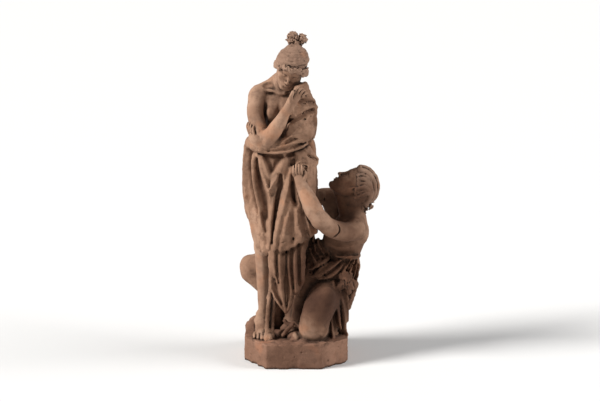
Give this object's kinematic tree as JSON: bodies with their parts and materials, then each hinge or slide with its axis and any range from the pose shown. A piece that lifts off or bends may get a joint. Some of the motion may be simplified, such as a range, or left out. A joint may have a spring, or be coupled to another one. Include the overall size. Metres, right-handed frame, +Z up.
{
  "type": "terracotta figure group",
  "caption": "Fired-clay group on an eight-sided plinth: a standing draped figure with crossed arms and a kneeling draped figure holding its skirt.",
  "frame": {"origin": "centre of the plinth's underside, in the plane it rests on", "axes": "+Z up, -Y towards the front, +X towards the kneeling figure"},
  "size_m": [0.25, 0.182, 0.5795],
  "materials": {
    "terracotta_flesh": "matt, unglazed, worn, with a thin brown patina in the hollows",
    "terracotta_drapery": "matt, unglazed, tooled, lighter on the ridges of the folds",
    "terracotta_hair": "matt, unglazed, combed and pitted",
    "terracotta_plinth": "matt, unglazed, scraped flat, chipped at the edges"
  },
  "bodies": {
    "root": {"plinth_top_slab": "terracotta_plinth", "plinth_wall_front": "terracotta_plinth", "plinth_wall_front_right": "terracotta_plinth", "plinth_wall_right": "terracotta_plinth", "plinth_wall_back_right": "terracotta_plinth", "plinth_wall_back": "terracotta_plinth", "plinth_wall_back_left": "terracotta_plinth", "plinth_wall_left": "terracotta_plinth", "plinth_wall_front_left": "terracotta_plinth", "plinth_inner_rib": "terracotta_plinth", "standing_torso": "terracotta_flesh", "standing_head": "terracotta_flesh", "standing_hair_cap": "terracotta_hair", "standing_topknot": "terracotta_hair", "standing_right_upper_arm": "terracotta_flesh", "standing_right_forearm": "terracotta_flesh", "standing_right_hand": "terracotta_flesh", "standing_left_hand": "terracotta_flesh", "standing_right_thigh": "terracotta_flesh", "standing_right_shin": "terracotta_flesh", "standing_right_foot": "terracotta_flesh", "standing_left_thigh": "terracotta_flesh", "standing_left_shin": "terracotta_flesh", "standing_left_foot": "terracotta_flesh", "kneeling_torso": "terracotta_flesh", "kneeling_head": "terracotta_flesh", "kneeling_hair": "terracotta_hair", "nape_knot": "terracotta_hair", "kneeling_left_upper_arm": "terracotta_flesh", "kneeling_left_forearm": "terracotta_flesh", "kneeling_left_hand": "terracotta_flesh", "kneeling_right_upper_arm": "terracotta_flesh", "kneeling_right_forearm": "terracotta_flesh", "kneeling_right_hand": "terracotta_flesh", "kneeling_right_thigh": "terracotta_flesh", "kneeling_right_shin": "terracotta_flesh", "kneeling_right_foot": "terracotta_flesh", "kneeling_left_thigh": "terracotta_flesh", "kneeling_left_shin": "terracotta_flesh", "kneeling_left_foot": "terracotta_flesh", "skirt": "terracotta_drapery", "left_arm_wrap": "terracotta_drapery", "forearm_wrap": "terracotta_drapery", "shoulder_mantle": "terracotta_drapery", "back_mantle": "terracotta_drapery", "hip_flare": "terracotta_drapery", "front_flap": "terracotta_drapery", "front_left_fall": "terracotta_drapery", "front_right_fall": "terracotta_drapery", "front_tail": "terracotta_drapery", "trailing_fold": "terracotta_drapery", "hip_wrap": "terracotta_drapery", "lap_cloth": "terracotta_drapery", "cloth_knot": "terracotta_drapery", "back_fold": "terracotta_drapery", "side_fall": "terracotta_drapery", "front_fall": "terracotta_drapery", "back_mound": "terracotta_plinth", "front_mound": "terracotta_plinth"}
  },
  "joints": []
}
